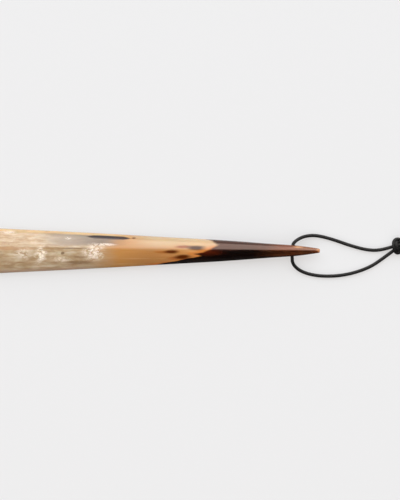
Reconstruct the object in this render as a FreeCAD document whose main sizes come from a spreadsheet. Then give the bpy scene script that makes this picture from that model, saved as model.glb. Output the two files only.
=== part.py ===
"""Long shoehorn cut from one ox horn, with a knotted hanging loop of round leather cord.

The horn lies on its hollow side. +X runs from the scoop to the solid tip, +Y across the blade and +Z up.
The origin is under the middle of the horn, on the surface that it lies on. Lengths are in millimetres.
"""

import FreeCAD, Part
import math
import os

import Sketcher

Vector = FreeCAD.Vector
Z_AXIS = Vector(0, 0, 1)
SHEET = "Dimensions"

# Driving dimensions: alias, value, meaning.
DIMENSIONS = [
    ("overall_length", 305.0, "from the lip of the scoop to the tip"),
    ("end_reach", 17.0, "length of the rounded end of the scoop, in plan"),
    ("end_half_width", 20.9, "half the width that the rounded end starts from"),
    ("trough_datum", 0.5, "how far below the resting plane the trough's ellipses are centred"),
    ("hole_from_tip", 18.0, "cord hole, from the tip"),
    ("hole_height", 6.2, "height of the cord hole's axis"),
    ("hole_diameter", 3.2, "cord hole, drilled across the horn"),
    ("hole_round", 0.25, "rounding of the mouths of the cord hole"),
    ("tip_round", 0.6, "rounding of the blunt tip"),
    ("cord_diameter", 2.2, "round leather cord"),
    ("knot_half_length", 5.0, "knot, along the cord"),
    ("knot_half_width", 5.0, "knot, across the cord"),
    ("knot_half_height", 3.3, "knot, three turns of cord high"),
]

# Outer sections of the horn, each an upper and a lower half ellipse on one level axis:
# name: (distance from the tip, half width, height of the level axis, height of the crown, depth of the belly)
SECTIONS = {
    "tip": (0.0, 1.3, 6.35, 7.5, 1.1),
    "point": (5.0, 2.08, 6.35, 8.3, 1.9),
    "eye": (14.0, 3.25, 6.25, 9.15, 2.95),
    "neck": (32.0, 4.55, 5.5, 9.6, 3.7),
    "grip": (60.0, 6.65, 3.4, 9.5, 3.2),
    "waist": (100.0, 8.95, 1.25, 9.35, 1.4),
    "throat": (150.0, 11.75, 0.7, 9.2, 1.25),
    "blade": (200.0, 14.2, 0.56, 9.2, 1.25),
    "flare": (250.0, 16.7, 0.48, 9.3, 1.25),
    "lip": (305.0, 20.4, 0.42, 9.0, 1.25),
}

# Sections of the trough under the blade, each half an ellipse:
# name: (distance from the tip, half width, height of the roof)
TROUGH = {
    "run_out": (115.0, 3.0, -0.2),
    "throat": (150.0, 8.6, 3.4),
    "blade": (200.0, 11.7, 5.7),
    "flare": (250.0, 14.4, 6.6),
    "lip": (310.0, 18.4, 7.0),
}

# Routes of the cord. Both strands start in the middle of the hole and end inside the knot.
KNOT_CENTRE = Vector(204.6, 3.7, 3.3)
KNOT_TURN = 28.0
UPPER_ROUTE = [
    (134.5, 0.0, 6.2),
    (134.5, 3.9, 6.2),
    (137.8, 7.2, 4.6),
    (143.2, 9.6, 2.2),
    (150.6, 10.1, 1.12),
    (161.0, 7.5, 1.1),
    (173.0, 3.2, 1.1),
    (184.5, 0.2, 1.1),
    (193.5, 0.4, 1.3),
    (200.9, 2.9, 2.2),
]
LOWER_ROUTE = [
    (134.5, 0.0, 6.2),
    (134.5, -4.3, 6.2),
    (134.9, -8.4, 4.1),
    (138.8, -12.5, 1.8),
    (145.4, -15.3, 1.12),
    (154.5, -16.7, 1.1),
    (165.5, -16.4, 1.1),
    (176.3, -14.2, 1.1),
    (186.5, -10.2, 1.1),
    (194.2, -4.8, 1.2),
    (200.8, 0.1, 2.0),
]
UPPER_TAIL_ROUTE = [
    (206.6, 5.4, 2.7),
    (210.4, 7.3, 2.0),
    (214.9, 8.8, 1.2),
    (219.9, 9.4, 1.1),
]
LOWER_TAIL_ROUTE = [
    (207.0, 3.2, 2.4),
    (211.2, 3.9, 1.6),
    (215.9, 3.7, 1.15),
    (220.7, 2.5, 1.1),
]
ARC_SHARE = 0.45

SMALLEST_CUT = 1.0
EDGE_SAMPLES = 7
TOUCH = 0.01

# How a sketch numbers its own axes, with the origin on the first, and the points of an arc or line.
ORIGIN = LEVEL_AXIS = -1
UPRIGHT_AXIS = -2
START, END, CENTRE = 1, 2, 3


def cell(alias):
    return f"{SHEET}.{alias}"


def make_sheet(doc):
    """The spreadsheet of driving dimensions, one alias to a row."""
    sheet = doc.addObject("Spreadsheet::Sheet", SHEET)
    rows = list(DIMENSIONS)
    for name, (place, half_width, axis, crown, belly) in SECTIONS.items():
        rows += [
            (f"{name}_place", place, f"{name} section, from the tip"),
            (f"{name}_half_width", half_width, f"{name} section, half its width"),
            (f"{name}_axis", axis, f"{name} section, height of its widest line"),
            (f"{name}_crown", crown, f"{name} section, height of its crown"),
            (f"{name}_belly", belly, f"{name} section, depth below its widest line"),
        ]
    for name, (place, half_width, roof) in TROUGH.items():
        rows += [
            (f"trough_{name}_place", place, f"trough at the {name}, from the tip"),
            (f"trough_{name}_half_width", half_width, f"trough at the {name}, half its width"),
            (f"trough_{name}_roof", roof, f"trough at the {name}, height of its roof"),
        ]
    aliases = set()
    for row, (alias, value, meaning) in enumerate(rows, start=1):
        if alias in aliases:
            raise ValueError(f"two cells named {alias}")
        aliases.add(alias)
        sheet.set(f"A{row}", alias.replace("_", " "))
        sheet.set(f"B{row}", str(value))
        sheet.set(f"C{row}", meaning)
        sheet.setAlias(f"B{row}", alias)
    doc.recompute()
    return sheet


def from_tip(place):
    """Formula of the X place that is this distance from the tip."""
    return f"{cell('overall_length')} / 2 - {place}"


def half_ellipse(sketch, centre_height, half_width, half_height, upper):
    """Adds half an ellipse that ends on its own level axis. Returns its index and those of its two axes."""
    ellipse = Part.Ellipse(Vector(0, centre_height, 0), half_width, half_height)
    start = 0.0 if upper else math.pi
    arc = sketch.addGeometry(Part.ArcOfEllipse(ellipse, start, start + math.pi), False)
    sketch.exposeInternalGeometry(arc)
    return arc, arc + 1, arc + 2


def dimension(sketch, constraint, formula):
    """Adds a measured constraint and binds it to the sheet."""
    index = sketch.addConstraint(constraint)
    sketch.setExpression(f"Constraints[{index}]", formula)


def place_centre(sketch, arc, height, formula):
    """Puts an arc's centre on the upright axis, at a height from the sheet."""
    sketch.addConstraint(Sketcher.Constraint("PointOnObject", arc, CENTRE, UPRIGHT_AXIS))
    dimension(sketch, Sketcher.Constraint("DistanceY", ORIGIN, START, arc, CENTRE, height), formula)


def cross_sketch(doc, name, place):
    """A sketch that stands across the horn: its own X is the part's Y, its own Y is the part's Z."""
    sketch = doc.addObject("Sketcher::SketchObject", name)
    sketch.Placement = FreeCAD.Placement(Vector(), FreeCAD.Rotation(Vector(1, 1, 1), 120))
    sketch.setExpression("Placement.Base.x", from_tip(place))
    return sketch


def outer_section(doc, name):
    """One closed outline of the horn: an upper and a lower half ellipse that share their level axis."""
    half_width, axis, crown, belly = SECTIONS[name][1:]
    rise = f"{cell(f'{name}_crown')} - {cell(f'{name}_axis')}"
    sketch = cross_sketch(doc, f"{name}_section", cell(f"{name}_place"))
    upper, upper_width, upper_height = half_ellipse(sketch, axis, half_width, crown - axis, True)
    lower, lower_width, lower_height = half_ellipse(sketch, axis, half_width, belly, False)
    place_centre(sketch, upper, axis, cell(f"{name}_axis"))
    for kind, *places in (
        ("Horizontal", upper_width),
        ("Horizontal", lower_width),
        ("PointOnObject", upper, START, upper_width),
        ("PointOnObject", upper, END, upper_width),
        ("Coincident", upper, CENTRE, lower, CENTRE),
        ("Coincident", upper, END, lower, START),
        ("Coincident", upper, START, lower, END),
    ):
        sketch.addConstraint(Sketcher.Constraint(kind, *places))
    for line, size, formula in (
        (upper_width, half_width, cell(f"{name}_half_width")),
        (upper_height, crown - axis, rise),
        (lower_height, belly, cell(f"{name}_belly")),
    ):
        dimension(sketch, Sketcher.Constraint("Distance", line, 2 * size), f"2 * ({formula})")
    return sketch


def trough_section(doc, name, datum):
    """One closed outline of the trough: half an ellipse closed by a line below the resting plane."""
    half_width, roof = TROUGH[name][1:]
    rise = f"{cell(f'trough_{name}_roof')} + {cell('trough_datum')}"
    sketch = cross_sketch(doc, f"trough_{name}_section", cell(f"trough_{name}_place"))
    arc, width, height = half_ellipse(sketch, -datum, half_width, roof + datum, True)
    left, right = Vector(-half_width, -datum, 0), Vector(half_width, -datum, 0)
    floor = sketch.addGeometry(Part.LineSegment(left, right), False)
    place_centre(sketch, arc, -datum, f"-{cell('trough_datum')}")
    for kind, *places in (
        ("Horizontal", width),
        ("PointOnObject", arc, START, width),
        ("PointOnObject", arc, END, width),
        ("Coincident", arc, END, floor, START),
        ("Coincident", arc, START, floor, END),
    ):
        sketch.addConstraint(Sketcher.Constraint(kind, *places))
    for line, size, formula in (
        (width, half_width, cell(f"trough_{name}_half_width")),
        (height, roof + datum, rise),
    ):
        dimension(sketch, Sketcher.Constraint("Distance", line, 2 * size), f"2 * ({formula})")
    return sketch


def loft(doc, name, sections):
    """A smooth solid through the sections. A degree over 3 would make it swell between them."""
    solid = doc.addObject("Part::Loft", name)
    solid.Sections = sections
    solid.Solid = True
    solid.MaxDegree = 3
    return solid


def body_sketch(body, name, role):
    """A sketch of a body on one of its own origin planes."""
    sketch = body.newObject("Sketcher::SketchObject", name)
    plane = next(part for part in body.Origin.OriginFeatures if part.Role == role)
    sketch.AttachmentSupport = [(plane, "")]
    sketch.MapMode = "FlatFace"
    return sketch


def straight_outline(sketch, corners, closed=True):
    """Adds lines from corner to corner, joined at their ends."""
    lines = []
    ends = corners[1:] + corners[:1] if closed else corners[1:]
    for first, second in zip(corners, ends):
        lines.append(sketch.addGeometry(Part.LineSegment(first, second), False))
    for line, following in zip(lines, lines[1:]):
        sketch.addConstraint(Sketcher.Constraint("Coincident", line, END, following, START))
    if closed:
        sketch.addConstraint(Sketcher.Constraint("Coincident", lines[-1], END, lines[0], START))
    return lines


def pocket(body, name, sketch, kind, side="One side", reversed_cut=False):
    """Cuts a sketch out of the body, and stops if nothing was cut."""
    before = body.Shape.Volume
    cut = body.newObject("PartDesign::Pocket", name)
    cut.Profile = sketch
    cut.Type = kind
    cut.SideType = side
    cut.Reversed = reversed_cut
    body.Document.recompute()
    removed = before - body.Shape.Volume
    print(f"{name} removes {removed:.1f} mm3")
    if removed < SMALLEST_CUT:
        raise RuntimeError(f"{name} cuts nothing")


def cut_resting_flat(body, sheet):
    """Grinds the underside to the plane that the horn lies on."""
    sketch = body_sketch(body, "resting_plane", "XY_Plane")
    reach, half_width = sheet.overall_length, 2 * sheet.end_half_width
    corners = [(-reach, -half_width), (reach, -half_width), (reach, half_width), (-reach, half_width)]
    straight_outline(sketch, [Vector(x, y, 0) for x, y in corners])
    pocket(body, "resting_flat", sketch, "ThroughAll")


def cut_rounded_end(body, sheet):
    """Rounds the scoop's end in plan to half an ellipse."""
    sketch = body_sketch(body, "end_outline", "XY_Plane")
    end_x = -sheet.overall_length / 2
    half_width, reach = sheet.end_half_width, sheet.end_reach
    middle = Vector(end_x + reach, 0, 0)
    side, nose = middle + Vector(0, half_width, 0), middle - Vector(reach, 0, 0)
    arc = sketch.addGeometry(Part.ArcOfEllipse(Part.Ellipse(side, nose, middle), 0, math.pi), False)
    sketch.exposeInternalGeometry(arc)
    width, length = arc + 1, arc + 2
    outside_x, outside_y = end_x - reach, half_width + reach
    outline = [(middle.x, -half_width), (middle.x, -outside_y), (outside_x, -outside_y)]
    outline += [(outside_x, outside_y), (middle.x, outside_y), (middle.x, half_width)]
    lines = straight_outline(sketch, [Vector(x, y, 0) for x, y in outline], closed=False)
    for kind, *places in (
        ("Coincident", arc, END, lines[0], START),
        ("Coincident", arc, START, lines[-1], END),
        ("PointOnObject", arc, START, width),
        ("PointOnObject", arc, END, width),
        ("Vertical", width),
        ("PointOnObject", arc, CENTRE, LEVEL_AXIS),
    ):
        sketch.addConstraint(Sketcher.Constraint(kind, *places))
    centre = Sketcher.Constraint("DistanceX", ORIGIN, START, arc, CENTRE, middle.x)
    dimension(sketch, centre, f"{cell('end_reach')} - {cell('overall_length')} / 2")
    dimension(sketch, Sketcher.Constraint("Distance", width, 2 * half_width), f"2 * {cell('end_half_width')}")
    dimension(sketch, Sketcher.Constraint("Distance", length, 2 * reach), f"2 * {cell('end_reach')}")
    pocket(body, "rounded_end", sketch, "ThroughAll", reversed_cut=True)


def drill_cord_hole(body, sheet):
    """Drills the hole for the cord across the horn."""
    sketch = body_sketch(body, "hole_outline", "XZ_Plane")
    centre = Vector(sheet.overall_length / 2 - sheet.hole_from_tip, sheet.hole_height, 0)
    radius = sheet.hole_diameter / 2
    circle = sketch.addGeometry(Part.Circle(centre, Z_AXIS, radius), False)
    across = Sketcher.Constraint("DistanceX", ORIGIN, START, circle, CENTRE, centre.x)
    dimension(sketch, across, from_tip(cell("hole_from_tip")))
    up = Sketcher.Constraint("DistanceY", ORIGIN, START, circle, CENTRE, centre.y)
    dimension(sketch, up, cell("hole_height"))
    dimension(sketch, Sketcher.Constraint("Diameter", circle, 2 * radius), cell("hole_diameter"))
    pocket(body, "cord_hole", sketch, "ThroughAll", side="Symmetric")


def edges_where(shape, test):
    """Names of the shape's edges whose every sampled point passes the test."""
    found = []
    for number, edge in enumerate(shape.Edges, start=1):
        if all(test(point) for point in edge.discretize(EDGE_SAMPLES)):
            found.append(f"Edge{number}")
    return found


def round_edges(body, name, radius_alias, test):
    """Rounds the edges that pass the test."""
    edges = edges_where(body.Shape, test)
    if not edges:
        raise RuntimeError(f"{name} finds no edge")
    base = body.Tip
    rounding = body.newObject("PartDesign::Fillet", name)
    rounding.Base = (base, edges)
    rounding.Refine = False
    rounding.setExpression("Radius", cell(radius_alias))
    body.Document.recompute()
    print(f"{name} rounds {len(edges)} edges")


def soften_horn(body, sheet):
    """Polishes off the horn's two sharpest places for a hand and a cord: the blunt tip and the mouths of the hole."""
    half_length = sheet.overall_length / 2
    hole_x, hole_z = half_length - sheet.hole_from_tip, sheet.hole_height
    radius = sheet.hole_diameter / 2

    def on_tip(point):
        return abs(point.x - half_length) < TOUCH

    def on_hole(point):
        return abs(point.y) > radius and math.hypot(point.x - hole_x, point.z - hole_z) < radius + TOUCH

    round_edges(body, "tip_rounding", "tip_round", on_tip)
    round_edges(body, "hole_rounding", "hole_round", on_hole)


def make_horn(doc, sheet):
    """The horn: a lofted blank with a lofted trough under it, then the cuts that finish it."""
    blank = loft(doc, "horn_blank", [outer_section(doc, name) for name in SECTIONS])
    troughs = [trough_section(doc, name, sheet.trough_datum) for name in TROUGH]
    hollow = loft(doc, "trough", troughs)
    troughed = doc.addObject("Part::Cut", "troughed_blank")
    troughed.Base = blank
    troughed.Tool = hollow
    doc.recompute()
    print(f"horn blank {blank.Shape.Volume:.1f} mm3, trough takes {blank.Shape.Volume - troughed.Shape.Volume:.1f}")
    body = doc.addObject("PartDesign::Body", "HornBlade")
    body.Label = "horn_blade"
    body.BaseFeature = troughed
    doc.recompute()
    cut_resting_flat(body, sheet)
    cut_rounded_end(body, sheet)
    drill_cord_hole(body, sheet)
    soften_horn(body, sheet)
    return body


def rounded_path(route):
    """Straight runs joined by tangent arcs, each arc as large as its two runs allow. Returns the wire and the radii."""
    points = [Vector(*place) for place in route]
    edges, radii = [], []
    here = points[0]
    for before, corner, after in zip(points, points[1:], points[2:]):
        arrive, leave = corner - before, after - corner
        shorter = min(arrive.Length, leave.Length)
        half_turn = arrive.getAngle(leave) / 2
        trim = ARC_SHARE * shorter
        arrive.normalize()
        leave.normalize()
        start, end = corner - arrive * trim, corner + leave * trim
        inward = (leave - arrive).normalize()
        radius = trim / math.tan(half_turn)
        middle = corner + inward * (radius / math.cos(half_turn) - radius)
        edges.append(Part.LineSegment(here, start).toShape())
        edges.append(Part.Arc(start, middle, end).toShape())
        radii.append(radius)
        here = end
    edges.append(Part.LineSegment(here, points[-1]).toShape())
    return Part.Wire(edges), radii


def make_strand(doc, sheet, label, route):
    """A round cord swept along its route."""
    wire, radii = rounded_path(route)
    path = doc.addObject("Part::Feature", f"{label}_path")
    path.Shape = wire
    section = doc.addObject("Part::Circle", f"{label}_section")
    section.setExpression("Radius", f"{cell('cord_diameter')} / 2")
    direction = Vector(*route[1]) - Vector(*route[0])
    section.Placement = FreeCAD.Placement(Vector(*route[0]), FreeCAD.Rotation(Z_AXIS, direction))
    strand = doc.addObject("Part::Sweep", label)
    strand.Label = label
    strand.Sections = [section]
    strand.Spine = (path, [f"Edge{number + 1}" for number in range(len(wire.Edges))])
    strand.Solid = True
    doc.recompute()
    tube = math.pi * (sheet.cord_diameter / 2) ** 2 * wire.Length
    print(
        f"{label}: {wire.Length:.1f} mm, volume {strand.Shape.Volume:.1f} of {tube:.1f} mm3, radii",
        " ".join(f"{radius:.1f}" for radius in radii),
    )
    return strand


def make_knot(doc):
    """The knot's outer shape, a flattened ball lying on the surface."""
    knot = doc.addObject("Part::Ellipsoid", "cord_knot")
    knot.Label = "cord_knot"
    knot.setExpression("Radius1", cell("knot_half_height"))
    knot.setExpression("Radius2", cell("knot_half_length"))
    knot.setExpression("Radius3", cell("knot_half_width"))
    knot.Placement = FreeCAD.Placement(KNOT_CENTRE, FreeCAD.Rotation(Z_AXIS, KNOT_TURN))
    return knot


def write_parts(doc, parts):
    """Checks the document and each sub-part, then writes one STEP file for each."""
    doc.recompute()
    for thing in doc.Objects:
        if "Invalid" in thing.State or "Error" in thing.State:
            raise RuntimeError(f"{thing.Name} failed: {thing.State}")
    os.makedirs("parts", exist_ok=True)
    for part in parts:
        shape = part.Shape
        if shape.isNull() or not shape.isValid() or not shape.Solids:
            raise RuntimeError(f"{part.Label} has no valid solid")
        box = shape.optimalBoundingBox()
        print(f"{part.Label}: {box.XLength:.1f} x {box.YLength:.1f} x {box.ZLength:.1f} mm, lowest {box.ZMin:.2f}")
        shape.exportStep(os.path.join("parts", f"{part.Label}.step"))


def main():
    doc = FreeCAD.newDocument("Shoehorn")
    sheet = make_sheet(doc)
    parts = [
        make_horn(doc, sheet),
        make_strand(doc, sheet, "upper_strand", UPPER_ROUTE),
        make_strand(doc, sheet, "lower_strand", LOWER_ROUTE),
        make_knot(doc),
        make_strand(doc, sheet, "upper_tail", UPPER_TAIL_ROUTE),
        make_strand(doc, sheet, "lower_tail", LOWER_TAIL_ROUTE),
    ]
    write_parts(doc, parts)


main()
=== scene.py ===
"""Looks of a long ox-horn shoehorn with a knotted hanging loop of round leather cord.

Everything is in metres in the CAD frame: X runs from the scoop to the tip, Y across, Z up, and the floor is
at Z = 0. Tables of shape are in millimetres, as in the CAD source, and MM turns them into metres.
"""
import math

import bpy
import numpy as np
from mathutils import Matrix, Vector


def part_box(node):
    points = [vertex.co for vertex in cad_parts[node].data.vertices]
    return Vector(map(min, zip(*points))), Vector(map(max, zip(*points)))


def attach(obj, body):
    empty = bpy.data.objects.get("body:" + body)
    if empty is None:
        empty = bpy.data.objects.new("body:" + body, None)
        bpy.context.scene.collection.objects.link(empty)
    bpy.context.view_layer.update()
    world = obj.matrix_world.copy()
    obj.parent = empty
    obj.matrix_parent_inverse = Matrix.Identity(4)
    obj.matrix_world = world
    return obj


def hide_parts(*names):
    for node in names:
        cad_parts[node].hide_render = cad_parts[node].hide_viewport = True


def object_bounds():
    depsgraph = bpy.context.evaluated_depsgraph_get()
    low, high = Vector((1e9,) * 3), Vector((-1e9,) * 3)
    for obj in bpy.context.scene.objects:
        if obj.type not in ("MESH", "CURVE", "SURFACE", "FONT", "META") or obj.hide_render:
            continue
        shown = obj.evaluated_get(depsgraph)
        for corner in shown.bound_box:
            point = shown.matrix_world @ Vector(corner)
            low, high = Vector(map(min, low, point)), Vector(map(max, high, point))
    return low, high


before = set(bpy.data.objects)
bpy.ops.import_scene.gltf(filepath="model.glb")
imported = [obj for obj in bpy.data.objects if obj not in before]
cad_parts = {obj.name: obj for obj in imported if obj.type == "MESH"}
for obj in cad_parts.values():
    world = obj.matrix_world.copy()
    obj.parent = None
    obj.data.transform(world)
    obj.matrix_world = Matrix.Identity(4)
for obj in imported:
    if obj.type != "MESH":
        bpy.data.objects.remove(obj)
cad_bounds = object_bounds()

MM = 0.001
HORN_LOW, HORN_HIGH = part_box("horn_blade")
TIP_X = HORN_HIGH.x
HORN_LENGTH = (HORN_HIGH.x - HORN_LOW.x) / MM

# ---------------------------------------------------------------- camera, light and floor

VIEW_CENTRE = (0.07476, 0.00046)
VIEW_HEIGHT = 0.325
FOCUS_HEIGHT = 0.004
LENS, SENSOR = 135.0, 36.0

# The softbox spans these two tilts from straight up; its near edge draws the boundary along the horn's crown.
BOX_NEAR, BOX_FAR = math.radians(14), math.radians(80)
BOX_RADIANCE = 2.85
BOX_COLOUR = (1.0, 0.95, 0.91)
# The fill lights the other side evenly and isn't reflected.
FILL_NEAR, FILL_FAR = math.radians(-15), math.radians(-70)
FILL_RADIANCE = 1.75
FILL_COLOUR = (1.0, 0.88, 0.78)
LIGHT_X, LIGHT_DISTANCE, LIGHT_LENGTH = 0.05, 3.2, 6.0

FLOOR_REACH, FLOOR_DROP = 5.0, 0.02 * MM
PAPER_GLOW = 0.535
PAPER_GLOW_COLOUR = (1.0, 0.965, 0.945, 1.0)
PAPER_ALBEDO = (0.24, 0.27, 0.3, 1.0)


def make_camera():
    """A long lens straight above the middle of the photograph's field."""
    data = bpy.data.cameras.new("camera")
    data.lens, data.sensor_width = LENS, SENSOR
    camera = bpy.data.objects.new("camera", data)
    height = VIEW_HEIGHT * LENS / SENSOR + FOCUS_HEIGHT
    camera.location = (*VIEW_CENTRE, height)
    bpy.context.scene.collection.objects.link(camera)
    bpy.context.scene.camera = camera


def add_softbox(name, near, far, radiance, colour, reflected):
    """A far rectangular light along X, between two tilts from straight up over the object."""
    tilt, width = (near + far) / 2, 2 * LIGHT_DISTANCE * math.tan(abs(far - near) / 2)
    data = bpy.data.lights.new(name, "AREA")
    data.shape = "RECTANGLE"
    data.size, data.size_y = LIGHT_LENGTH, width
    data.energy = radiance * math.pi * LIGHT_LENGTH * width
    data.color = colour
    light = bpy.data.objects.new(name, data)
    light.visible_camera, light.visible_glossy = False, reflected
    light.location = (LIGHT_X, LIGHT_DISTANCE * math.sin(tilt), LIGHT_DISTANCE * math.cos(tilt))
    light.rotation_euler = (-tilt, 0, 0)
    bpy.context.scene.collection.objects.link(light)


def make_room():
    """A dim world that is darker towards the fill's side, so that side of the horn reflects little."""
    world = bpy.data.worlds.new("room")
    bpy.context.scene.world = world
    world.use_nodes = True
    graph = Graph(world.node_tree)
    _, along_y, up = graph.split(graph.add("ShaderNodeTexCoord").outputs["Generated"])
    glow = graph.both(graph.fade(up, 0.02, 0.3, 0.75, 0.13), graph.fade(along_y, -0.3, 0.3, 0.08, 1.0))
    background = graph.add("ShaderNodeBackground", Color=(1, 1, 1, 1), Strength=glow)
    output = graph.add("ShaderNodeOutputWorld")
    graph.tree.links.new(background.outputs[0], output.inputs["Surface"])


def make_paper():
    """Matt pale paper that glows a little, as if lit through, so shadows on it stay soft."""
    graph = Graph.material("paper")
    grain = graph.noise(graph.place, 1.4, detail=3)
    graph.surface(
        {
            "Base Color": PAPER_ALBEDO,
            "Roughness": 0.9,
            "Specular IOR Level": 0.0,
            "Emission Color": PAPER_GLOW_COLOUR,
            "Emission Strength": PAPER_GLOW,
        },
        bump=(grain, 0.1, 0.02),
    )
    return graph.result


def make_floor():
    """A wide floor just under the object, which the horn's gloss doesn't mirror."""
    mesh = bpy.data.meshes.new("floor")
    signs = [(-1, -1), (1, -1), (1, 1), (-1, 1)]
    mesh.from_pydata([(FLOOR_REACH * x, FLOOR_REACH * y, 0) for x, y in signs], [], [(0, 1, 2, 3)])
    mesh.materials.append(make_paper())
    floor = bpy.data.objects.new("floor", mesh)
    floor.location.z = cad_bounds[0].z - FLOOR_DROP
    floor.visible_glossy = False
    bpy.context.scene.collection.objects.link(floor)


def make_studio():
    """One far softbox above the +Y side, a fill on the other side, a dim room and a pale floor."""
    add_softbox("softbox", BOX_NEAR, BOX_FAR, BOX_RADIANCE, BOX_COLOUR, True)
    add_softbox("fill", FILL_NEAR, FILL_FAR, FILL_RADIANCE, FILL_COLOUR, False)
    make_room()
    make_floor()


# ---------------------------------------------------------------- nodes


def srgb(red, green, blue):
    """A colour given as screen values from 0 to 255."""
    linear = [((v / 255 + 0.055) / 1.055) ** 2.4 if v > 10 else v / 255 / 12.92 for v in (red, green, blue)]
    return (*linear, 1.0)


class Graph:
    """Writes nodes as short calls. A value is a number, a tuple or another node's output."""

    def __init__(self, tree):
        self.tree = tree
        tree.nodes.clear()

    @classmethod
    def material(cls, name):
        """A graph for a new material, with the object's own millimetres as its place."""
        result = bpy.data.materials.new(name)
        result.use_nodes = True
        graph = cls(result.node_tree)
        graph.result = result
        coordinates = graph.add("ShaderNodeTexCoord").outputs["Object"]
        graph.place = graph.vector("MULTIPLY", coordinates, (1000, 1000, 1000))
        return graph

    def set(self, socket, value):
        if isinstance(value, bpy.types.NodeSocket):
            self.tree.links.new(value, socket)
        else:
            socket.default_value = value

    def add(self, kind, *values, settings=None, **named):
        node = self.tree.nodes.new(kind)
        for name, value in (settings or {}).items():
            setattr(node, name, value)
        for socket, value in zip(node.inputs, values):
            self.set(socket, value)
        for name, value in named.items():
            self.set(node.inputs[name], value)
        return node

    def maths(self, operation, *values):
        return self.add("ShaderNodeMath", *values, settings={"operation": operation}).outputs[0]

    def vector(self, operation, *values):
        node = self.add("ShaderNodeVectorMath", *values, settings={"operation": operation})
        return node.outputs["Value" if operation == "LENGTH" else "Vector"]

    def split(self, vector):
        return self.add("ShaderNodeSeparateXYZ", vector).outputs[:]

    def fade(self, value, start, stop, low=0.0, high=1.0):
        """Goes smoothly from low to high as the value goes from start to stop."""
        if start > stop:
            start, stop, low, high = stop, start, high, low
        node = self.add("ShaderNodeMapRange", settings={"interpolation_type": "SMOOTHSTEP"})
        given = {"Value": value, "From Min": start, "From Max": stop, "To Min": low, "To Max": high}
        for name, setting in given.items():
            self.set(node.inputs[name], setting)
        return node.outputs["Result"]

    def both(self, *masks):
        product = masks[0]
        for mask in masks[1:]:
            product = self.maths("MULTIPLY", product, mask)
        return product

    def noise(self, place, scale, detail=2.0, roughness=0.5, distortion=0.0, output="Factor"):
        """Noise whose lumps are about 1 / scale millimetres; scale may differ along X, Y and Z."""
        if isinstance(scale, tuple):
            place, scale = self.vector("MULTIPLY", place, scale), 1.0
        shape = {"Scale": scale, "Detail": detail, "Roughness": roughness, "Distortion": distortion}
        node = self.add("ShaderNodeTexNoise", Vector=place, **shape)
        return node.outputs[0 if output == "Factor" else 1]

    def cracks(self, place, scale):
        """Distance from the edges of irregular cells."""
        settings = {"feature": "DISTANCE_TO_EDGE"}
        node = self.add("ShaderNodeTexVoronoi", settings=settings, Vector=place, Scale=scale)
        return node.outputs["Distance"]

    def mix(self, share, first, second):
        node = self.add("ShaderNodeMix", settings={"data_type": "RGBA"})
        for index, value in ((0, share), (6, first), (7, second)):
            self.set(node.inputs[index], value)
        return node.outputs[2]

    def ramp(self, value, stops):
        """A run of colours from the first stop to the last: (value, screen colour)."""
        low, high = stops[0][0], stops[-1][0]
        share = self.add("ShaderNodeMapRange", value, low, high).outputs["Result"]
        node = self.add("ShaderNodeValToRGB", share)
        elements = node.color_ramp.elements
        for element, (at, colour) in zip(elements, (stops[0], stops[-1])):
            element.position, element.color = (at - low) / (high - low), srgb(*colour)
        for at, colour in stops[1:-1]:
            elements.new((at - low) / (high - low)).color = srgb(*colour)
        return node.outputs["Color"]

    def line(self, value, points, bottom, top):
        """A smooth graph of given (value, height) points; the heights lie between bottom and top."""
        low, high = points[0][0], points[-1][0]
        share = self.add("ShaderNodeMapRange", value, low, high).outputs["Result"]
        node = self.add("ShaderNodeFloatCurve", Value=share)
        curve = node.mapping.curves[0]
        spots = [((at - low) / (high - low), (height - bottom) / (top - bottom)) for at, height in points]
        curve.points[0].location, curve.points[1].location = spots[0], spots[-1]
        for spot in spots[1:-1]:
            curve.points.new(*spot)
        node.mapping.update()
        return self.maths("MULTIPLY_ADD", node.outputs[0], top - bottom, bottom)

    def blob(self, place, centre, half, inner=0.45):
        """A soft-edged oval spot, 1 inside and 0 outside."""
        spread = tuple(1 / size for size in half)
        shift = tuple(-middle / size for middle, size in zip(centre, half))
        away = self.vector("LENGTH", self.vector("MULTIPLY_ADD", place, spread, shift))
        return self.fade(away, 1.1, inner)

    def painted(self, colour, patches, tint, inner=0.45):
        """The colour with soft oval patches of a tint on it: (centre, half sizes, strength)."""
        for centre, half, strength in patches:
            share = self.both(self.blob(self.warped, centre, half, inner), strength)
            colour = self.mix(share, colour, srgb(*tint))
        return colour

    def surface(self, values, bump=None):
        """The material's shader; bump is (height, strength, distance in millimetres)."""
        shader = self.add("ShaderNodeBsdfPrincipled")
        for name, value in values.items():
            self.set(shader.inputs[name], value)
        if bump:
            height, strength, distance = bump
            relief = self.add("ShaderNodeBump", Strength=strength, Distance=distance * MM, Height=height)
            self.set(shader.inputs["Normal"], relief.outputs["Normal"])
        output = self.add("ShaderNodeOutputMaterial")
        self.tree.links.new(shader.outputs[0], output.inputs["Surface"])


# ---------------------------------------------------------------- cord

CORD_DIAMETER = 2.2
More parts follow.
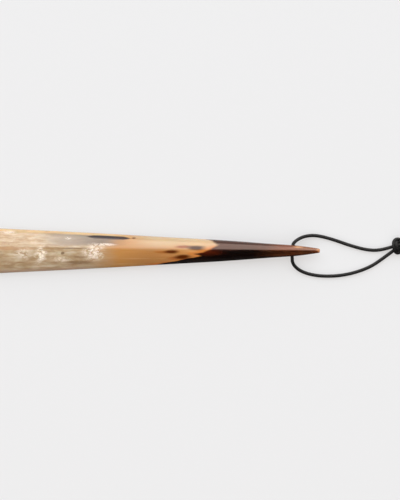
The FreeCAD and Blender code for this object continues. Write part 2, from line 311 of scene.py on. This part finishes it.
# Where the cord leaves the hole's mouths, either side of the horn's middle
UPPER_ROUTE = [
    (134.5, 0.0, 6.2),
    (134.5, 3.9, 6.2),
    (137.8, 7.2, 4.6),
    (143.2, 9.6, 2.2),
    (150.6, 10.1, 1.12),
    (161.0, 7.5, 1.1),
    (173.0, 3.2, 1.1),
    (184.5, 0.2, 1.1),
    (193.5, 0.4, 1.3),
    (200.9, 2.9, 2.2),
]
LOWER_ROUTE = [
    (134.5, 0.0, 6.2),
    (134.5, -4.3, 6.2),
    (134.9, -8.4, 4.1),
    (138.8, -12.5, 1.8),
    (145.4, -15.3, 1.12),
    (154.5, -16.7, 1.1),
    (165.5, -16.4, 1.1),
    (176.3, -14.2, 1.1),
    (186.5, -10.2, 1.1),
    (194.2, -4.8, 1.2),
    (200.8, 0.1, 2.0),
]
UPPER_TAIL_ROUTE = [
    (206.6, 5.4, 2.7),
    (210.4, 7.3, 2.0),
    (214.9, 8.8, 1.2),
    (219.9, 9.4, 1.1),
]
LOWER_TAIL_ROUTE = [
    (207.0, 3.2, 2.4),
    (211.2, 3.9, 1.6),
    (215.9, 3.7, 1.15),
    (220.7, 2.5, 1.1),
]


STEPS_PER_POINT, BEVEL_STEPS = 16, 6


def nurbs(name, route, bevel):
    """A curve of one smooth spline with the route's points as its control points."""
    data = bpy.data.curves.new(name, "CURVE")
    data.dimensions = "3D"
    data.resolution_u = STEPS_PER_POINT
    data.bevel_depth = bevel
    data.bevel_resolution = BEVEL_STEPS
    data.use_fill_caps = bevel > 0
    spline = data.splines.new("NURBS")
    spline.points.add(len(route) - 1)
    for point, place in zip(spline.points, route):
        point.co = (*(MM * part for part in place), 1.0)
    spline.order_u = 3
    spline.use_endpoint_u = True
    curve = bpy.data.objects.new(name, data)
    bpy.context.scene.collection.objects.link(curve)
    return curve


def evaluated_mesh(thing):
    """A new mesh of an object as its modifiers or its curve make it."""
    return bpy.data.meshes.new_from_object(thing.evaluated_get(bpy.context.evaluated_depsgraph_get()))


def points_of(route):
    """The route's smooth line as an array of points, in millimetres."""
    guide = nurbs("guide", route, 0.0)
    line = evaluated_mesh(guide)
    points = np.array([vertex.co for vertex in line.vertices]) / MM
    bpy.data.objects.remove(guide)
    bpy.data.meshes.remove(line)
    return points


def make_leather():
    """Black dyed round leather cord: grain that is darker in its cracks, creases and a little worn shine."""
    graph = Graph.material("cord_leather")
    grain = graph.cracks(graph.place, 3.2)
    fine = graph.noise(graph.place, 5.0, detail=4)
    cloud = graph.noise(graph.place, 0.25, detail=3)
    height = graph.maths("MULTIPLY_ADD", fine, 0.7, graph.fade(grain, 0.0, 0.2))
    colour = graph.mix(cloud, srgb(6, 6, 7), srgb(16, 15, 15))
    # Darker in the grain's cracks.
    colour = graph.mix(graph.fade(grain, 0.12, 0.0, 0.0, 0.6), colour, srgb(4, 4, 5))
    graph.surface(
        {
            "Base Color": colour,
            "Roughness": graph.fade(fine, 0.3, 0.7, 0.42, 0.62),
            "IOR": 1.5,
            "Sheen Weight": 0.02,
            "Sheen Roughness": 0.5,
        },
        bump=(height, 0.7, 0.09),
    )
    return graph.result


# ---------------------------------------------------------------- knot

KNOT_CENTRE, KNOT_TURN = (204.6, 3.7), math.radians(28)
KNOT_SHRINK = 0.9
KNOT_MIDDLE = (1.3, 1.4, 0.4)
# A loose overhand knot tied in the doubled cord, in millimetres about the knot. The loop comes in from -X.
LOOSE_KNOT = [
    (-22, 0, 0),
    (-14, 0, 0),
    (-7, 0, -1.6),
    (-2.3, 0, 0),
    (2.3, 0, 1.6),
    (7.8, 1.2, 0.3),
    (10.6, 6.9, 0),
    (8.3, 12.4, -0.6),
    (3.7, 13.8, -1.6),
    (-3.5, 12.4, 0),
    (-8.7, 6.9, 0.8),
    (-7.1, 0, 1.6),
    (-2.8, -6.0, 0.2),
    (2.1, -4.4, -1.0),
    (3.0, 0, -1.6),
    (3.5, 6.9, 0),
    (4.4, 13.8, 1.6),
    (9.2, 17.5, 0.4),
    (16.1, 13.8, 0),
    (20.7, 4.6, 0),
    (26, 0, 0),
    (32, 0, 0),
]
ROPE_POINTS = 104
# Half the gap between the two ropes before tightening, as a share of the diameter
ROPE_SPREAD = 0.57
TIGHTENING_TURNS, PUSHES_PER_TURN, TURNS_PER_RESPACING = 1100, 2, 4
SMOOTHING = 0.25
# Stretches of one rope nearer along it than this many diameters may touch, because they are one bend.
BEND_SPAN = 1.6
# The tightened stretch that is kept, and the share of a rope that is eased either side of each joint
KNOT_START, KNOT_STOP = -4.6, 7.4
EASING_REACH, EASING_ROUNDS = 0.06, 40
JOINED_POINTS, TUBE_RINGS = 190, 170


def tightened(lines, diameter, floor):
    """Pulls two ropes tight by smoothing them while no two stretches come nearer than a diameter."""
    count = len(lines[0])
    ends = [(line[0].copy(), line[-1].copy()) for line in lines]
    index = np.arange(2 * count)
    one_rope = (index[:, None] // count) == (index // count)
    steps_apart = np.abs(index[:, None] - index)
    for turn in range(TIGHTENING_TURNS):
        for line in lines:
            line[1:-1] += SMOOTHING * (line[:-2] + line[2:] - 2 * line[1:-1])
        if turn % TURNS_PER_RESPACING == 0:
            lines = [resampled(line, count) for line in lines]
        points = np.vstack(lines)
        step = np.linalg.norm(lines[0][1] - lines[0][0])
        for _ in range(PUSHES_PER_TURN):
            gaps = points[:, None] - points
            away = np.sqrt((gaps**2).sum(2)) + 1e-9
            overlap = np.clip(diameter - away, 0, None)
            overlap[one_rope & (steps_apart * step < BEND_SPAN * diameter)] = 0
            touching = np.maximum((overlap > 0).sum(1), 1)
            points += 0.5 * ((overlap / away)[:, :, None] * gaps).sum(1) / touching[:, None]
        points[:, 2] = np.maximum(points[:, 2], floor)
        lines = [points[:count], points[count:]]
        for line, (first, last) in zip(lines, ends):
            line[0], line[-1] = first, last
    return lines


def eased(line, joints):
    """Smooths a line only near its joints, which are given as places along it from 0 to 1."""
    share = np.linspace(0, 1, len(line))
    distance = np.min([np.abs(share - joint) for joint in joints], axis=0)
    near = np.clip(1 - distance / EASING_REACH, 0, 1)[1:-1, None]
    for _ in range(EASING_ROUNDS):
        line[1:-1] += SMOOTHING * near * (line[:-2] + line[2:] - 2 * line[1:-1])
    return line


def tie_knot():
    """Centre lines of both strands through the knot and out to their cut ends."""
    middle = points_of(LOOSE_KNOT)
    ahead = np.gradient(middle, axis=0)
    side = np.cross((0, 0, 1.0), ahead)
    side *= ROPE_SPREAD * CORD_DIAMETER / np.linalg.norm(side, axis=1)[:, None]
    loose = [resampled(middle + turn * side, ROPE_POINTS) for turn in (1, -1)]
    tight = tightened(loose, CORD_DIAMETER, -CORD_DIAMETER)
    cosine, sine = math.cos(KNOT_TURN), math.sin(KNOT_TURN)
    turn = np.array([(cosine, sine, 0), (-sine, cosine, 0), (0, 0, 1)])
    lowest = min(line[:, 2].min() for line in tight)
    ropes = []
    routes = ((UPPER_ROUTE, UPPER_TAIL_ROUTE), (LOWER_ROUTE, LOWER_TAIL_ROUTE))
    for line, (strand, tail) in zip(tight, routes):
        inside = np.flatnonzero((line[:, 0] > KNOT_START) & (line[:, 0] < KNOT_STOP))
        core = line[inside[0] : inside[-1] + 1] - (*KNOT_MIDDLE[:2], lowest)
        core = KNOT_SHRINK * core @ turn + (*KNOT_CENTRE, CORD_DIAMETER / 2)
        whole = np.vstack([[strand[-1]], core, tail[1:]])
        lengths = np.r_[0, np.cumsum(np.linalg.norm(np.diff(whole, axis=0), axis=1))]
        joints = (lengths[1] / lengths[-1], lengths[len(core)] / lengths[-1], lengths[-2] / lengths[-1])
        rope = eased(resampled(whole, JOINED_POINTS), joints)
        rope[:, 2] = np.maximum(rope[:, 2], CORD_DIAMETER / 2)
        ropes.append(resampled(rope, TUBE_RINGS))
    return ropes


def resampled(points, count):
    """The same line with its points evenly spaced."""
    steps = np.r_[0, np.cumsum(np.linalg.norm(np.diff(points, axis=0), axis=1))]
    wanted = np.linspace(0, steps[-1], count)
    return np.stack([np.interp(wanted, steps, points[:, axis]) for axis in range(3)], axis=1)


TUBE_SIDES, END_SOFTNESS = 20, 0.25


def tube(line, radius, sides=TUBE_SIDES):
    """Vertices and faces of a closed round tube along a line, with softly rounded ends."""
    tangents = np.gradient(line, axis=0)
    tangents /= np.linalg.norm(tangents, axis=1)[:, None]
    across = np.cross(tangents[0], (0, 0, 1.0))
    turn = np.linspace(0, 2 * np.pi, sides, endpoint=False)
    soft = END_SOFTNESS * radius
    starts = [(line[0], tangents[0], radius - soft), (line[0] + soft * tangents[0], tangents[0], radius)]
    middles = [(line[k], tangents[k], radius) for k in range(1, len(line) - 1)]
    ends = [(line[-1] - soft * tangents[-1], tangents[-1], radius), (line[-1], tangents[-1], radius - soft)]
    rings = starts + middles + ends
    vertices, faces = [], []
    for centre, tangent, size in rings:
        across = across - tangent * (across @ tangent)
        across /= np.linalg.norm(across)
        up = np.cross(tangent, across)
        vertices.append(centre + size * (np.cos(turn)[:, None] * across + np.sin(turn)[:, None] * up))
    for ring in range(len(rings) - 1):
        for side in range(sides):
            here, there = ring * sides + side, ring * sides + (side + 1) % sides
            faces.append((here, there, there + sides, here + sides))
    faces.append(tuple(reversed(range(sides))))
    last = (len(rings) - 1) * sides
    faces.append(tuple(range(last, last + sides)))
    return np.concatenate(vertices), faces


# ---------------------------------------------------------------- horn

# Outer sections of the horn, as in the CAD source:
# distance from the tip, half width, height of the level axis, height of the crown, depth of the belly
SECTIONS = [
    (0.0, 1.3, 6.35, 7.5, 1.1),
    (5.0, 2.08, 6.35, 8.3, 1.9),
    (14.0, 3.25, 6.25, 9.15, 2.95),
    (32.0, 4.55, 5.5, 9.6, 3.7),
    (60.0, 6.65, 3.4, 9.5, 3.2),
    (100.0, 8.95, 1.25, 9.35, 1.4),
    (150.0, 11.75, 0.7, 9.2, 1.25),
    (200.0, 14.2, 0.56, 9.2, 1.25),
    (250.0, 16.7, 0.48, 9.3, 1.25),
    (305.0, 20.4, 0.42, 9.0, 1.25),
]
# Sections of the trough: distance from the tip, half width, height of the roof
TROUGH = [(115.0, 3.0, -0.2), (150.0, 8.6, 3.4), (200.0, 11.7, 5.7), (250.0, 14.4, 6.6), (310.0, 18.4, 7.0)]
# How far below the floor the trough's arcs spring, and how far before its start the rounding into it begins
TROUGH_DATUM, TROUGH_LEAD = 0.5, 10
# The scoop ends in half an ellipse: its length along the horn, and its half width
END_REACH, END_HALF_WIDTH = 17.0, 20.9
HOLE_FROM_TIP, HOLE_HEIGHT, HOLE_DIAMETER = 18.0, 6.2, 3.2
TIP_ROUND, LIP_ROUND, RIM_ROUND = 0.6, 0.8, 0.35
# The rounded end draws the rings back from this place on, and settles in a few rounds.
END_ZONE, END_ROUNDS = 262.0, 8
# Rings of the skin: from, to and how many, closer together where the horn is narrow
STATIONS = [(1.0, 30.0, 70), (30.6, 112.0, 120), (112.8, HORN_LENGTH - LIP_ROUND, 230)]
# Steps over the horn's width, and round the tip's and the lip's edges
ARC, ROUND_STEPS = 72, 6


def smooth(table, column, places):
    """A table's column as a smooth curve of its first column."""
    table = np.array(table)
    known, values = table[:, 0], table[:, column]
    slopes = np.gradient(values, known)
    index = np.clip(np.searchsorted(known, places) - 1, 0, len(known) - 2)
    gap = known[index + 1] - known[index]
    t = np.clip((places - known[index]) / gap, 0, 1)
    return (
        (2 * t**3 - 3 * t**2 + 1) * values[index]
        + (t**3 - 2 * t**2 + t) * gap * slopes[index]
        + (3 * t**2 - 2 * t**3) * values[index + 1]
        + (t**3 - t**2) * gap * slopes[index + 1]
    )


def rounded_max(first, second, softness):
    return (first + second + np.sqrt((first - second) ** 2 + softness**2)) / 2


def end_limit(across):
    """How far from the tip the rounded end of the scoop reaches at this distance from the middle."""
    share = np.clip(1 - (across / END_HALF_WIDTH) ** 2, 0, 1)
    return HORN_LENGTH - END_REACH * (1 - np.sqrt(share))


def horn_points(places, turns, inset):
    """Upper and lower points of the skin, for places from the tip and turns from 0 to pi across the horn."""
    reach = places.copy()
    for _ in range(END_ROUNDS):
        across = smooth(SECTIONS, 1, reach) * np.cos(turns)
        limit = end_limit(across) - LIP_ROUND
        stretch = (limit - END_ZONE) / (HORN_LENGTH - LIP_ROUND - END_ZONE)
        reach = np.where(places > END_ZONE, END_ZONE + (places - END_ZONE) * stretch, places)
    half, axis, crown, belly = (smooth(SECTIONS, column, reach) for column in (1, 2, 3, 4))
    across = half * np.cos(turns)
    rise = np.abs(np.sin(turns))
    over = axis + (crown - axis) * rise
    under = rounded_max(axis - belly * rise, 0.0, RIM_ROUND) - RIM_ROUND**2 / 8
    width, roof = smooth(TROUGH, 1, reach), smooth(TROUGH, 2, reach)
    chord = np.sqrt(np.clip(1 - (across / width) ** 2, 0, 1))
    hollow = np.where(reach > TROUGH[0][0], (roof + TROUGH_DATUM) * chord - TROUGH_DATUM, -TROUGH_DATUM)
    under = np.where(reach > TROUGH[0][0] - TROUGH_LEAD, rounded_max(under, hollow, RIM_ROUND * rise), under)
    under = np.minimum(under, over)
    middle = (over + under) / 2
    share = np.clip((half - inset) / half, 0, 1)
    over, under = middle + (over - middle) * share, middle + (under - middle) * share
    return reach, across * share, over, np.maximum(under, 0)


def horn_layers():
    """Rings of the skin from the blunt tip to the rounded lip: place from the tip, across, top and bottom."""
    bend = np.linspace(np.pi / 2, 0, ROUND_STEPS)
    stations = np.concatenate([np.linspace(*run) for run in STATIONS])
    places = np.r_[TIP_ROUND * (1 - np.sin(bend)), stations]
    insets = np.r_[TIP_ROUND * (1 - np.cos(bend)), np.zeros(len(stations))]
    turns = np.linspace(0, np.pi, ARC + 1)
    reach, across, over, under = horn_points(places[:, None], turns, insets[:, None])
    layers = list(zip(reach, across, over, under))
    middle, thick = (over[-1] + under[-1]) / 2, (over[-1] - under[-1]) / 2
    for angle in np.linspace(0, np.pi / 2, ROUND_STEPS)[1:]:
        kept = np.clip(1 - LIP_ROUND * (1 - math.cos(angle)) / np.maximum(thick, 1e-6), 0, 1)
        out = reach[-1] + LIP_ROUND * math.sin(angle)
        layers.append((out, across[-1], middle + thick * kept, middle - thick * kept))
    return layers


def horn_mesh():
    """The horn as one closed skin of even rings, with its hole still to cut."""
    layers, loop = horn_layers(), 2 * ARC
    vertices, faces = [], []
    for out, side, top, bottom in layers:
        x = TIP_X / MM - out
        vertices += [(x[k], side[k], top[k]) for k in range(ARC + 1)]
        vertices += [(x[k], side[k], bottom[k]) for k in range(ARC - 1, 0, -1)]
    for ring in range(len(layers) - 1):
        for k in range(loop):
            here, there = ring * loop + k, ring * loop + (k + 1) % loop
            faces.append((here, here + loop, there + loop, there))
    vertices.append(tuple(np.mean(vertices[:loop], axis=0)))
    faces += [(k, (k + 1) % loop, len(vertices) - 1) for k in range(loop)]
    last = (len(layers) - 1) * loop
    for k in range(ARC):
        corners = (last + k, last + (loop - k) % loop, last + loop - k - 1, last + k + 1)
        faces.append(tuple(dict.fromkeys(corners)))
    return np.array(vertices) * MM, faces


def make_mesh(name, vertices, faces):
    mesh = bpy.data.meshes.new(name)
    mesh.from_pydata([tuple(v) for v in vertices], [], faces)
    mesh.validate()
    mesh.update()
    return mesh


def make_object(name, mesh, material):
    mesh.materials.append(material)
    piece = bpy.data.objects.new(name, mesh)
    bpy.context.scene.collection.objects.link(piece)
    return piece


# The pin for the cord hole: its half length, rings and sides, and where and how fast it flares
PIN_REACH, PIN_RINGS, PIN_SIDES = 6, 61, 64
FLARE_START, FLARE_RATE = 2.7, 0.35


def hole_cutter():
    """A round pin across the horn that flares where it leaves the skin, to cut a hole with soft mouths."""
    turn = np.linspace(0, 2 * np.pi, PIN_SIDES, endpoint=False)
    steps = np.linspace(-PIN_REACH, PIN_REACH, PIN_RINGS)
    radius = HOLE_DIAMETER / 2 + FLARE_RATE * np.clip(np.abs(steps) - FLARE_START, 0, None) ** 2
    x = TIP_X / MM - HOLE_FROM_TIP
    vertices, faces = [], []
    for step, size in zip(steps, radius):
        vertices += [(x + size * math.cos(t), step, HOLE_HEIGHT + size * math.sin(t)) for t in turn]
    for ring in range(0, (PIN_RINGS - 1) * PIN_SIDES, PIN_SIDES):
        for k in range(PIN_SIDES):
            here, there = ring + k, ring + (k + 1) % PIN_SIDES
            faces.append((here, there, there + PIN_SIDES, here + PIN_SIDES))
    faces.append(tuple(reversed(range(PIN_SIDES))))
    faces.append(tuple(range((PIN_RINGS - 1) * PIN_SIDES, PIN_RINGS * PIN_SIDES)))
    return make_mesh("hole_cutter", np.array(vertices) * MM, faces)


SHARP_ANGLE = math.radians(50)


def make_horn():
    """The horn's skin, less the pin for its cord hole. The cut splits faces there but leaves no opening."""
    vertices, faces = horn_mesh()
    whole = bpy.data.objects.new("whole", make_mesh("whole", vertices, faces))
    cutter = bpy.data.objects.new("cutter", hole_cutter())
    for thing in (whole, cutter):
        bpy.context.scene.collection.objects.link(thing)
    cut = whole.modifiers.new("hole", "BOOLEAN")
    cut.operation, cut.solver, cut.object = "DIFFERENCE", "EXACT", cutter
    mesh = evaluated_mesh(whole)
    mesh.name = "polished_horn_blade"
    for thing in (whole, cutter):
        bpy.data.objects.remove(thing)
    mesh.materials.clear()
    mesh.shade_smooth()
    mesh.set_sharp_from_angle(angle=SHARP_ANGLE)
    return make_object("polished_horn_blade", mesh, make_horn_material())


# ---------------------------------------------------------------- horn material

# Runs of colour: place along the horn, or a noise's value, and screen colour
PALE_COLOURS = [
    (-155, (194, 174, 146)),
    (-100, (188, 168, 140)),
    (-58, (196, 174, 142)),
    (-40, (182, 162, 132)),
    (-27, (190, 170, 140)),
    (-14, (174, 158, 128)),
    (0, (166, 144, 118)),
    (12, (176, 144, 104)),
    (22, (180, 134, 80)),
    (42, (172, 126, 76)),
    (60, (182, 132, 78)),
    (72, (196, 146, 90)),
    (90, (186, 122, 62)),
]
MARBLE_COLOURS = [
    (0.3, (150, 126, 98)),
    (0.42, (166, 145, 116)),
    (0.5, (180, 164, 138)),
    (0.6, (192, 180, 158)),
    (0.75, (212, 204, 188)),
]
HANDLE_COLOURS = [
    (45, (18, 15, 14)),
    (78, (22, 11, 8)),
    (90, (14, 7, 6)),
    (106, (13, 7, 6)),
    (118, (24, 9, 5)),
    (128, (42, 18, 9)),
    (137, (52, 24, 11)),
    (146, (58, 28, 14)),
    (153, (92, 50, 28)),
]
# Painted light: lighter, browner colours for the handle's +Y side, where the softbox lights it
HANDLE_LIT_SIDE_COLOURS = [
    (60, (66, 30, 16)),
    (105, (54, 24, 14)),
    (118, (66, 29, 17)),
    (130, (106, 54, 32)),
    (140, (112, 66, 42)),
    (153, (138, 92, 62)),
]
# The dark handle's front: place across the horn, and place along it
HANDLE_FRONT = [
    (-10, 44),
    (-8.7, 48),
    (-7.6, 53),
    (-6.4, 59),
    (-5.2, 65),
    (-4.4, 70),
    (-3.4, 74),
    (-2.4, 71),
    (-1.2, 75.5),
    (0.8, 79.5),
    (2.0, 82.5),
    (3.4, 85.5),
    (4.8, 83.5),
    (6.0, 82),
    (7.0, 80),
    (10, 76),
]
FRONT_FROM, FRONT_TO, FRONT_WANDER = 30, 95, 9.0
# Soft oval patches: centre, half sizes and strength
FLAKES = [
    ((-28.5, -2.5, 7), (4.2, 7.0, 20), 0.95),
    ((-40, -2.0, 7), (7, 5, 20), 0.6),
    ((6, -1.0, 7), (9, 6.5, 20), 0.9),
    ((-11, 8.2, 6), (3.4, 1.2, 20), 0.55),
    ((-15, -5.5, 6), (9, 2.2, 20), 0.5),
    ((14, 4.0, 7), (8, 1.2, 20), 0.6),
    ((-49, 12.3, 5), (6, 1.6, 20), 0.6),
    ((-70, 3, 6), (12, 6, 20), 0.55),
    ((-112, -4, 6), (22, 9, 20), 0.6),
]
SMUDGES = [
    ((-13, -1.5, 8), (1.7, 1.3, 20), 0.8),
    ((-3, -7.6, 5), (13, 1.5, 20), 0.5),
    ((-8, 1.7, 8), (11, 0.6, 20), 0.6),
    ((-2, -3.8, 8), (5, 1.0, 20), 0.35),
]
TAN_BAND = [((-50, 1.4, 6), (24, 1.4, 20), 0.55)]
STREAK_KNOT = [((30.4, 8.0, 6), (2.0, 0.5, 8), 1.0)]
EMBER = [((80, -1.0, 8), (13, 3.0, 20), 0.7)]
# Painted highlights: golden glints on the tip's +Y side and at its blunt end
TIP_PAINTED_HIGHLIGHTS = [((139, 2.4, 8), (4.5, 1.0, 20), 0.8), ((152.6, 0.3, 7), (2.6, 2.4, 20), 0.8)]
# The spots ahead of the handle's front: a patch and its colour
SPOTS = [
    (((50.5, -0.6, 8), (6.5, 1.1, 20), 0.7), (150, 86, 34)),
    (((55.8, -0.5, 8), (6.6, 1.7, 20), 1.0), (84, 36, 4)),
    (((58.5, -4.7, 8), (8.0, 1.2, 20), 0.65), (160, 92, 42)),
    (((63.6, -4.1, 8), (7.6, 1.9, 20), 1.0), (86, 36, 3)),
    (((64.5, 2.5, 8), (8.0, 1.3, 20), 0.8), (128, 52, 22)),
    (((72.4, 1.9, 8), (7.2, 1.9, 20), 1.0), (44, 18, 8)),
]
# Straight lines over the place along the horn: slope, and value at the origin
HALF_WIDTH_LINE = (-0.056, 11.89)
STREAK_LINE = (-0.045, 9.25)
# How far the painted places wander from the true ones along X, Y and Z
WANDER = (9.0, 1.6, 1.0)


def set_places(g):
    """Gives the graph the places that the horn is painted by: true, wandering and relative to its width."""
    g.x, g.y, _ = g.split(g.place)
    drift = g.noise(g.place, (0.05, 0.22, 0.22), detail=3, output="Color")
    g.warped = g.vector("MULTIPLY_ADD", g.vector("SUBTRACT", drift, (0.5, 0.5, 0.5)), WANDER, g.place)
    g.wx, g.wy, _ = g.split(g.warped)
    g.fibre = g.noise(g.warped, (0.02, 0.9, 0.9), detail=4, roughness=0.6)
    g.edge = g.maths("DIVIDE", g.y, g.maths("MULTIPLY_ADD", g.x, *HALF_WIDTH_LINE))


def marbled_ground(g):
    """Honey horn that turns to marbled cream towards the scoop, and the marble's noise."""
    colour = g.ramp(g.wx, PALE_COLOURS)
    marble = g.noise(g.warped, (0.1, 0.34, 0.34), detail=7, roughness=0.64)
    marbled = g.fade(g.wx, 22, -6)
    colour = g.mix(g.both(marbled, 0.85), colour, g.ramp(marble, MARBLE_COLOURS))
    veins = g.noise(g.warped, (0.07, 0.7, 0.7), detail=6, roughness=0.66, distortion=0.3)
    brown_veins = g.both(marbled, g.fade(veins, 0.53, 0.68, 0.0, 0.42))
    colour = g.mix(brown_veins, colour, srgb(138, 104, 72))
    pale_veins = g.both(marbled, g.fade(veins, 0.44, 0.33, 0.0, 0.35))
    colour = g.mix(pale_veins, colour, srgb(218, 206, 186))
    brown_fibres = g.both(g.fade(g.fibre, 0.45, 0.75, 0.0, 0.28), g.fade(g.wx, 90, 40))
    colour = g.mix(brown_fibres, colour, srgb(160, 112, 62))
    return g.mix(g.fade(g.fibre, 0.45, 0.2, 0.0, 0.22), colour, srgb(246, 226, 188)), marble


def with_bands(g, colour, marble):
    """Bands along the two edges and down the middle of the blade, with painted light: a painted highlight
    along the +Y edge, and the +Y half painted paler where the softbox lights it.
    """
    # Painted highlight: a gold band along the +Y edge, which faces the softbox.
    painted_edge_highlight = g.both(g.fade(g.edge, 0.78, 0.9), g.fade(g.wx, 34, 18), g.fade(marble, 0.35, 0.6, 0.55, 0.9))
    colour = g.mix(painted_edge_highlight, colour, srgb(206, 176, 130))
    # Painted light: the +Y half, which faces the softbox, is painted paler cream.
    painted_lit_side = g.both(g.fade(g.edge, -0.1, 0.6), g.fade(g.x, 20, 48), 0.75)
    colour = g.mix(painted_lit_side, colour, srgb(190, 175, 145))
    pink_edge = g.both(g.fade(g.edge, -0.8, -0.93), g.fade(g.wx, 12, -6), 0.7)
    colour = g.mix(pink_edge, colour, srgb(176, 150, 132))
    return g.painted(colour, TAN_BAND, (176, 132, 92))


def with_streak(g, colour):
    """The grey translucent haze near the +Y edge, and the dark line along it that thins to both ends."""
    along = g.both(g.fade(g.wx, -36, -12), g.fade(g.wx, 30, 12))
    haze = g.both(along, g.fade(g.wy, 2.0, 5.0), g.fade(g.edge, 0.92, 0.8), 0.85)
    haze_colour = g.mix(g.fade(g.wx, -14, 12), srgb(144, 138, 128), srgb(98, 96, 91))
    colour = g.mix(haze, colour, haze_colour)
    middle = g.maths("MULTIPLY_ADD", g.x, *STREAK_LINE)
    across = g.maths("MULTIPLY_ADD", g.wy, 0.35, g.maths("MULTIPLY", g.y, 0.65))
    away = g.maths("ABSOLUTE", g.maths("SUBTRACT", across, middle))
    thinning = g.maths("ADD", g.fade(g.x, 7, -4, 0.0, 2.0), g.fade(g.x, 24, 35, 0.0, 2.0))
    streak = g.fade(g.maths("ADD", away, thinning), 1.35, 0.7)
    colour = g.mix(g.both(streak, 0.95), colour, srgb(34, 32, 40))
    return g.painted(colour, STREAK_KNOT, (96, 58, 34))


def with_flakes(g, colour):
    """Whitish crackled flakes and small brown smudges in the marbled half."""
    grains = g.noise(g.warped, (0.3, 0.5, 0.5), detail=7, roughness=0.8, distortion=0.6)
    crackle = g.both(g.fade(grains, 0.43, 0.53), g.fade(g.cracks(g.warped, 0.5), 0.0, 0.12, 0.5, 1.0))
    for centre, half, strength in FLAKES:
        flake = g.both(crackle, g.blob(g.warped, centre, half, 0.2), strength)
        colour = g.mix(flake, colour, srgb(248, 243, 234))
    return g.painted(colour, SMUDGES, (112, 84, 60))


def past_front(g):
    """How far a place lies past the wandering front of the dark handle, in millimetres."""
    front = g.line(g.wy, HANDLE_FRONT, FRONT_FROM, FRONT_TO)
    wander = g.maths("SUBTRACT", g.noise(g.warped, (0.08, 0.5, 0.5), detail=4), 0.5)
    return g.maths("SUBTRACT", g.maths("MULTIPLY_ADD", wander, FRONT_WANDER, g.x), front)


def dark_horn(g):
    """Near black horn that turns red-brown towards the tip, with painted light: its +Y side, toward the
    softbox, is painted lighter and browner, and the tip has painted highlights.
    """
    colour = g.ramp(g.wx, HANDLE_COLOURS)
    # Painted light: the +Y side is painted in the lit colours.
    colour = g.mix(g.fade(g.wy, -0.4, 1.6), colour, g.ramp(g.wx, HANDLE_LIT_SIDE_COLOURS))
    brown_fibres = g.both(g.fade(g.fibre, 0.4, 0.75, 0.0, 0.35), g.fade(g.wx, 108, 130))
    colour = g.mix(brown_fibres, colour, srgb(128, 74, 42))
    colour = g.painted(colour, EMBER, (88, 30, 8), 0.1)
    # Painted highlights on the tip.
    return g.painted(colour, TIP_PAINTED_HIGHLIGHTS, (198, 150, 108), 0.1)


def make_horn_material():
    """Polished ox horn: marbled cream at the scoop, honey along the blade, black and brown at the handle."""
    g = Graph.material("ox_horn")
    set_places(g)
    pale = with_flakes(g, with_streak(g, with_bands(g, *marbled_ground(g))))
    past = past_front(g)
    halo = g.both(g.fade(past, -9, -0.5), g.fade(g.wy, 4.5, 1.5), 0.55)
    pale = g.mix(halo, pale, srgb(196, 116, 44))
    colour = g.mix(g.fade(past, -1.2, 2.2), pale, dark_horn(g))
    for patch, tint in SPOTS:
        colour = g.painted(colour, [patch], tint, 0.3)
    scratches = g.noise(g.place, (0.03, 2.4, 2.4), detail=3, roughness=0.6)
    g.surface(
        {
            "Base Color": colour,
            "Roughness": g.fade(g.noise(g.place, 0.12, detail=3), 0.3, 0.7, 0.07, 0.15),
            "IOR": 1.66,
            "Specular Tint": (1.0, 0.81, 0.73, 1.0),
            "Subsurface Weight": 0.55,
            "Subsurface Radius": (1.0, 0.55, 0.28),
            "Subsurface Scale": 0.003,
        },
        bump=(scratches, 0.12, 0.02),
    )
    return g.result


# ---------------------------------------------------------------- assembly


def declare(piece, body, slot, *nodes):
    """Attaches a piece to the body it moves with and hides the CAD nodes it stands for; slot, its finish, is
    not used.
    """
    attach(piece, body)
    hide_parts(*nodes)


def make_strand(name, route, leather):
    """One bare stretch of the cord between the hole and the knot."""
    strand = nurbs(name, route, CORD_DIAMETER / 2 * MM)
    strand.data.materials.append(leather)
    return strand


def make_knot(leather):
    """Both strands through the knot and out to their cut ends, as one mesh of two tubes."""
    vertices, faces = [], []
    for line in tie_knot():
        tube_vertices, tube_faces = tube(line, CORD_DIAMETER / 2)
        faces += [tuple(corner + len(vertices) for corner in face) for face in tube_faces]
        vertices += list(tube_vertices)
    mesh = make_mesh("loop_knot", np.array(vertices) * MM, faces)
    mesh.shade_smooth()
    return make_object("loop_knot", mesh, leather)


make_camera()
leather = make_leather()
upper = make_strand("upper_loop_strand", UPPER_ROUTE, leather)
declare(upper, "cord_loop", "leather_cord", "upper_strand")
lower = make_strand("lower_loop_strand", LOWER_ROUTE, leather)
declare(lower, "cord_loop", "leather_cord", "lower_strand")
make_studio()
declare(make_horn(), "horn", "polished_horn", "horn_blade")
knot = make_knot(leather)
declare(knot, "cord_loop", "leather_cord", "cord_knot", "upper_tail", "lower_tail")

bpy.context.scene.view_settings.view_transform = "Standard"
